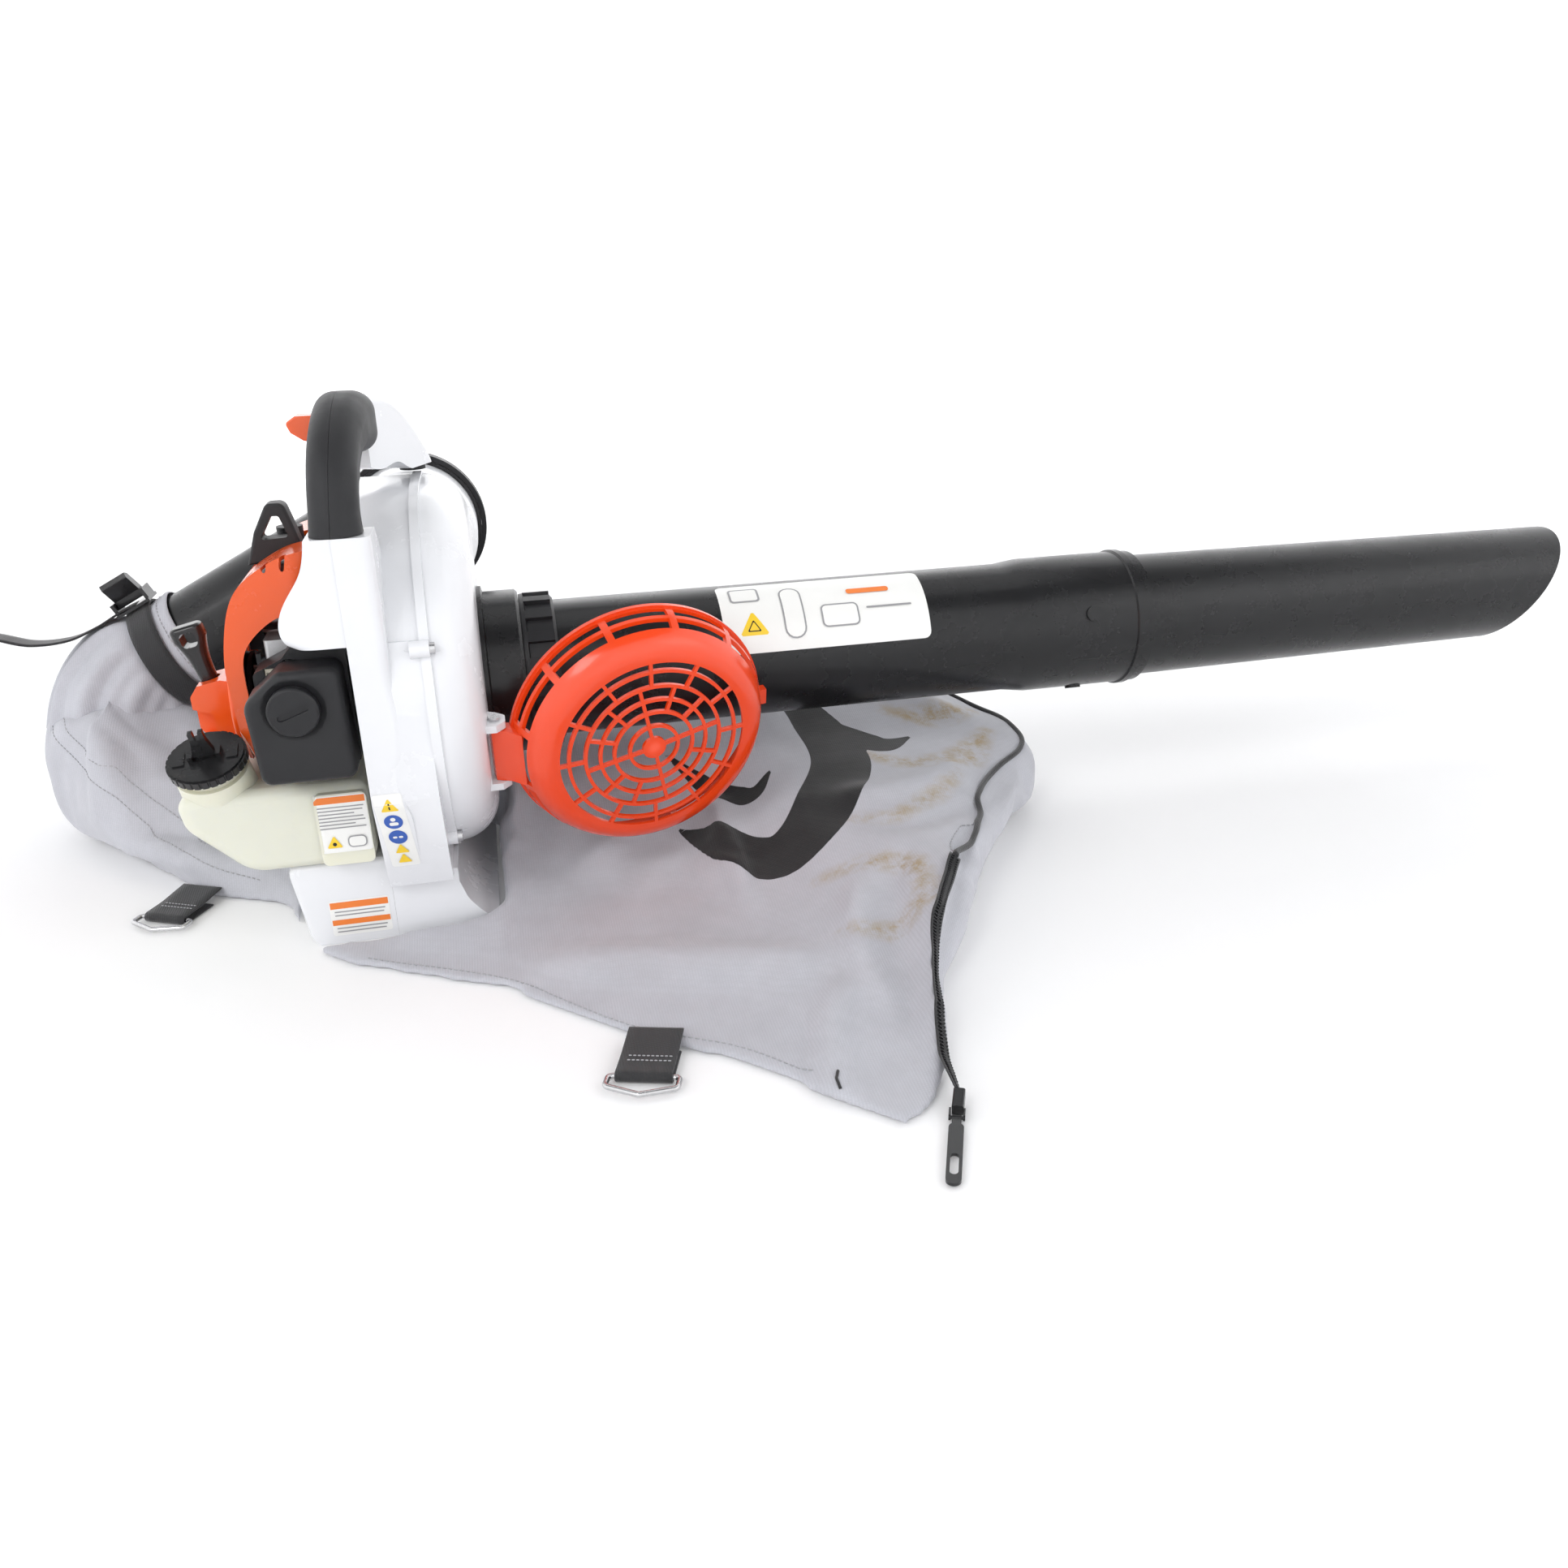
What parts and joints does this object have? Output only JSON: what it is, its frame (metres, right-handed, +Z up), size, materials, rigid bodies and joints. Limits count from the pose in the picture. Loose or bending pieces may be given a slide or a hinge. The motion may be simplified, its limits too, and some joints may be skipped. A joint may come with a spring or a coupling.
{
  "type": "leaf vacuum mulcher",
  "caption": "Hand-held petrol vacuum shredder with suction tube, opened intake screen, top grip, fuel tank and an outlet elbow with a cloth catcher bag.",
  "frame": {"origin": "on the sole of the foot, straight below the fan and crank axis", "axes": "+X along the fan axis and the suction tube towards the nozzle, +Y away from the operator towards the outlet elbow, +Z up"},
  "size_m": [1.246, 0.7136, 0.3574],
  "materials": {
    "white_housing": "satin gloss moulding",
    "orange_housing": "satin gloss moulding",
    "orange_screen": "gloss moulding",
    "black_tube": "satin moulding with fine scuffs",
    "black_plastic": "fine textured moulding",
    "grip_plastic": "grained soft-feel moulding",
    "black_rubber": "matt rubber",
    "tank_plastic": "milky translucent",
    "bag_cloth": "woven polyester",
    "black_webbing": "woven webbing",
    "bright_steel": "zinc plated",
    "dark_steel": "heat-stained",
    "cast_aluminium": "as cast",
    "fan_plastic": "glass-filled moulding",
    "plug_ceramic": "glazed insulator with plated shell",
    "rope_cord": "braided cord",
    "filter_felt": "pleated felt"
  },
  "bodies": {
    "machine": {"fan_housing_inner": "white_housing", "fan_housing_outer": "white_housing", "housing_screws": "bright_steel", "suction_adapter": "black_tube", "upper_suction_tube": "black_tube", "screen_hinge_pin": "bright_steel", "crankcase": "cast_aluminium", "crank_bearings": "bright_steel", "cylinder": "cast_aluminium", "spark_plug": "plug_ceramic", "spark_plug_boot": "black_rubber", "ignition_module": "black_plastic", "muffler": "dark_steel", "muffler_guard": "dark_steel", "engine_shroud": "orange_housing", "starter_housing": "orange_housing", "rewind_spring": "dark_steel", "carburetor": "cast_aluminium", "primer_bulb": "black_rubber", "filter_housing": "black_plastic", "air_filter": "filter_felt", "filter_cover": "black_plastic", "fuel_tank": "tank_plastic", "grip_left": "grip_plastic", "grip_right": "grip_plastic", "handle_arm": "white_housing", "av_buffer": "black_rubber", "handle_shell": "white_housing", "foot": "white_housing", "elbow": "black_tube", "elbow_clamp": "black_plastic", "bag_sleeve": "bag_cloth", "bag": "bag_cloth", "bag_strap": "black_webbing", "cam_buckle": "black_plastic", "zipper": "black_webbing", "strap_loops": "black_webbing"},
    "crank": {"crankshaft": "dark_steel", "fan_wheel": "fan_plastic", "shredder_blade": "dark_steel", "fan_nut": "bright_steel", "flywheel": "cast_aluminium"},
    "rope_pulley": {"starter_pulley": "black_plastic"},
    "starter": {"starter_grip": "black_plastic", "starter_rope": "rope_cord"},
    "screen": {"intake_screen": "orange_screen"},
    "cap": {"fuel_cap": "black_plastic"},
    "cap_tab": {"fuel_cap_tab": "black_plastic"},
    "knob": {"filter_knob": "black_plastic"},
    "trigger": {"throttle_trigger": "black_plastic"},
    "lever": {"setting_lever": "orange_housing"},
    "choke": {"choke_lever": "black_plastic"},
    "nut": {"union_nut": "black_tube"},
    "nozzle": {"lower_suction_tube": "black_tube"},
    "piston_body": {"piston": "cast_aluminium"},
    "zip_runner": {"zipper_slider": "black_plastic"},
    "zip_tag": {"zipper_pull": "black_plastic"},
    "rear_ring": {"d_ring_rear": "bright_steel"},
    "front_ring": {"d_ring_front": "bright_steel"},
    "strap_cam": {"cam_lever": "black_plastic"}
  },
  "joints": [
    {"name": "crank_spin", "type": "hinge", "parent": "machine", "child": "crank", "pos_m": [0, 0, 0.155], "axis": [1, 0, 0], "continuous": true},
    {"name": "starter_pull", "type": "slide", "parent": "machine", "child": "starter", "axis": [-0.2251, 0, 0.9743], "range_m": [0, 0.6], "stiffness_N_per_m": 8, "springref_m": -0.3},
    {"name": "pulley_spin", "type": "hinge", "parent": "machine", "child": "rope_pulley", "pos_m": [-0.078, 0, 0.155], "axis": [1, 0, 0], "range_deg": [-1300, 0]},
    {"name": "screen_hinge", "type": "hinge", "parent": "machine", "child": "screen", "pos_m": [0.0819, -0.09334, 0.12788], "axis": [0, 0.279, -0.9603], "range_deg": [0, 45]},
    {"name": "cap_turn", "type": "hinge", "parent": "machine", "child": "cap", "pos_m": [-0.099, -0.082, 0.136], "axis": [-0.0904, -0.3716, 0.924], "range_deg": [0, 90]},
    {"name": "tab_flip", "type": "hinge", "parent": "cap", "child": "cap_tab", "pos_m": [-0.09974, -0.08505, 0.14358], "axis": [0.9952, 0.0001, 0.0974], "range_deg": [-45, 45]},
    {"name": "knob_turn", "type": "hinge", "parent": "machine", "child": "knob", "pos_m": [-0.035, -0.126, 0.179], "axis": [0, -1, 0], "range_deg": [0, 90]},
    {"name": "lever_turn", "type": "hinge", "parent": "machine", "child": "lever", "pos_m": [-0.0084, -0.026, 0.334], "axis": [1, 0, 0], "range_deg": [-25, 25]},
    {"name": "trigger_squeeze", "type": "hinge", "parent": "machine", "child": "trigger", "pos_m": [0.009, -0.031, 0.327], "axis": [-1, 0, 0], "range_deg": [0, 14], "stiffness_Nm_per_rad": 0.3, "springref_deg": -17.19},
    {"name": "choke_turn", "type": "hinge", "parent": "machine", "child": "choke", "pos_m": [-0.0594, -0.06, 0.194], "axis": [1, 0, 0], "range_deg": [0, 60]},
    {"name": "union_nut_turn", "type": "hinge", "parent": "machine", "child": "nut", "pos_m": [0.118, 0, 0.155], "axis": [1, 0, 0], "range_deg": [0, 60]},
    {"name": "lower_tube_twist", "type": "hinge", "parent": "machine", "child": "nozzle", "pos_m": [0.52, 0, 0.155], "axis": [1, 0, 0], "range_deg": [0, 20]},
    {"name": "piston_stroke", "type": "slide", "parent": "machine", "child": "piston_body", "axis": [0, 0, 1], "range_m": [-0.03, 0]},
    {"name": "zipper_slide", "type": "slide", "parent": "machine", "child": "zip_runner", "axis": [0.3881, 0.8436, 0.3712], "range_m": [0, 0.008]},
    {"name": "zipper_pull_lift", "type": "hinge", "parent": "zip_runner", "child": "zip_tag", "pos_m": [0.29999, -0.38508, 0.00285], "axis": [-0.9298, 0.3679, 0], "range_deg": [0, 70]},
    {"name": "rear_ring_swing", "type": "hinge", "parent": "machine", "child": "rear_ring", "pos_m": [-0.16128, -0.02431, 0.0036], "axis": [-0.8924, 0.4512, 0], "range_deg": [0, 80]},
    {"name": "front_ring_swing", "type": "hinge", "parent": "machine", "child": "front_ring", "pos_m": [0.14447, -0.30584, 0.0036], "axis": [-0.9536, 0.3011, 0], "range_deg": [0, 80]},
    {"name": "strap_cam_close", "type": "hinge", "parent": "machine", "child": "strap_cam", "pos_m": [-0.19982, 0.208, 0.18452], "axis": [0.89, 0, 0.456], "range_deg": [0, 45]}
  ],
  "couplings": [
    {"joint": "pulley_spin", "follows": "starter_pull", "rad_per_m": -37.037}
  ]
}
